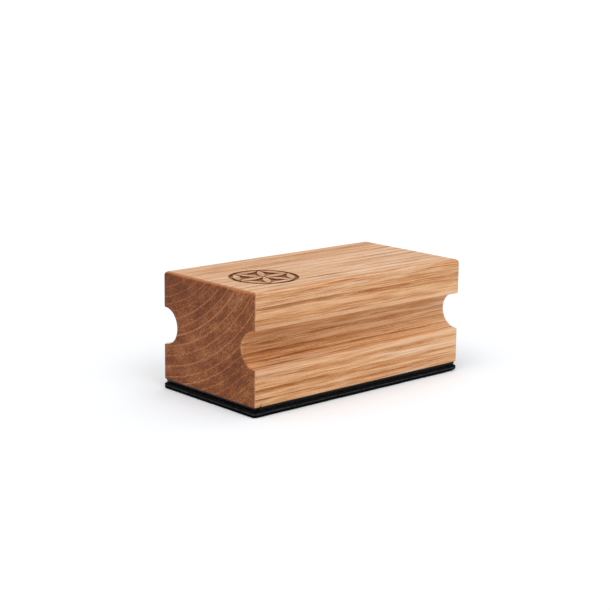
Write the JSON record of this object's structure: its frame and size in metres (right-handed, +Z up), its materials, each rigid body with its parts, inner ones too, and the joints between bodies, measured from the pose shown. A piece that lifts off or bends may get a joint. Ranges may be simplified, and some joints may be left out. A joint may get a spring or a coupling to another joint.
{
  "type": "chalkboard eraser",
  "caption": "Wooden block eraser for a chalkboard, with a finger groove along each long side and a felt pad that pulls off its hook tape.",
  "frame": {"origin": "centre of the felt pad's wiping face, on the surface that the eraser stands on", "axes": "+X along the handle, away from the end with the engraving; +Y across the handle, away from the side nearer the engraving; +Z up, from the wiping face to the top of the handle"},
  "size_m": [0.12, 0.06, 0.0515],
  "materials": {
    "ash_wood": "sanded and lightly oiled",
    "adhesive": "thin black acrylic glue",
    "black_nylon": "moulded nylon",
    "black_felt": "needled wool felt"
  },
  "bodies": {
    "pad": {"felt_pad": "black_felt"},
    "handle": {"wood_handle": "ash_wood", "adhesive_film": "adhesive", "hook_tape": "black_nylon"}
  },
  "joints": [
    {"name": "handle_lift", "type": "slide", "parent": "pad", "child": "handle", "axis": [0, 0, 1], "range_m": [0, 0.04]}
  ]
}
